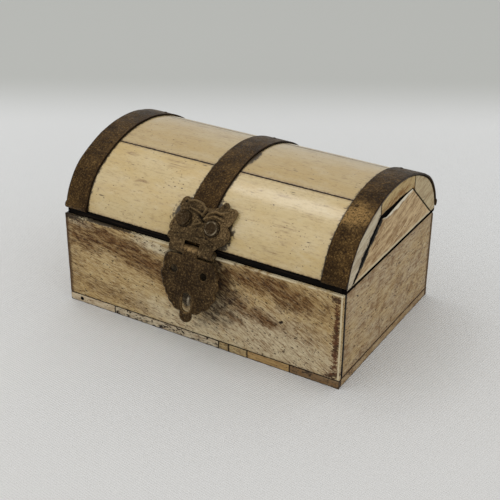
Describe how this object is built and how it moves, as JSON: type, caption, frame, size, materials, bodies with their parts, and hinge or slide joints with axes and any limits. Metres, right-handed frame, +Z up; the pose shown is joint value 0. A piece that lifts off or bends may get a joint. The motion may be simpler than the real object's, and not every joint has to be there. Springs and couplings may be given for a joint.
{
  "type": "jewelry chest",
  "caption": "Small dome-lidded box of wood clad in bone plates, with brass straps over the lid, butt hinges behind and a swinging hasp that closes over a staple.",
  "frame": {"origin": "middle of the underside that the chest stands on, with the lid closed", "axes": "+X along the front from left to right, +Y from front to back, +Z up"},
  "size_m": [0.1028, 0.0733, 0.0557],
  "materials": {
    "wood": "bare softwood, dark with age",
    "black_wood": "stained black, satin",
    "bone": "scraped bone with brown streaks, satin",
    "plinth_bone": "stained bone, satin",
    "polished_bone": "polished bone with fine dark pores",
    "end_bone": "streaked bone, satin",
    "lac": "black lac, slightly glossy",
    "velvet": "short-pile velvet",
    "strap_brass": "dark aged brass",
    "hasp_brass": "stamped brass, dark patina",
    "steel": "worn wire",
    "hinge_brass": "aged brass"
  },
  "bodies": {
    "base": {"board_back": "wood", "board_bottom": "wood", "board_front": "wood", "board_left": "wood", "board_right": "wood", "bone_back": "bone", "bone_front": "bone", "bone_left": "bone", "bone_right": "bone", "hinge_left_base_leaf": "hinge_brass", "hinge_left_pin": "hinge_brass", "hinge_nails_base": "hinge_brass", "hinge_right_base_leaf": "hinge_brass", "hinge_right_pin": "hinge_brass", "lac_base": "lac", "lining_floor": "velvet", "lining_walls": "velvet", "plinth_back": "plinth_bone", "plinth_front": "plinth_bone", "plinth_left": "plinth_bone", "plinth_peg": "lac", "plinth_right": "plinth_bone", "staple": "steel"},
    "lid": {"end_left_centre": "end_bone", "end_left_front": "end_bone", "end_left_rear": "end_bone", "end_left_top": "end_bone", "end_right_centre": "end_bone", "end_right_front": "end_bone", "end_right_rear": "end_bone", "end_right_top": "end_bone", "lid_bone_front_left": "polished_bone", "lid_bone_front_right": "polished_bone", "lid_bone_rear_left": "polished_bone", "lid_bone_rear_right": "polished_bone", "lid_bone_top_left": "polished_bone", "lid_bone_top_right": "polished_bone", "lid_end_left": "wood", "lid_end_right": "wood", "lid_lac": "lac", "lid_lining": "velvet", "lid_rim_back": "black_wood", "lid_rim_front": "black_wood", "lid_rim_left": "black_wood", "lid_rim_right": "black_wood", "lid_stave_front": "wood", "lid_stave_rear": "wood", "lid_stave_top": "wood", "strap_brads": "strap_brass", "strap_left": "strap_brass", "strap_middle": "strap_brass", "strap_right": "strap_brass", "hasp_leaf": "hasp_brass", "hasp_nails": "hasp_brass", "hasp_pin": "steel", "hinge_left_lid_leaf": "hinge_brass", "hinge_right_lid_leaf": "hinge_brass", "hinge_nails_lid": "hinge_brass"},
    "hasp_flap": {"hasp_flap": "hasp_brass"}
  },
  "joints": [
    {"name": "lid_hinge", "type": "hinge", "parent": "base", "child": "lid", "pos_m": [0, 0.0319, 0.03257], "axis": [-1, 0, 0], "range_deg": [0, 100]},
    {"name": "hasp_hinge", "type": "hinge", "parent": "lid", "child": "hasp_flap", "pos_m": [0, -0.03465, 0.0336], "axis": [-1, 0, 0], "range_deg": [-14, 110]}
  ]
}
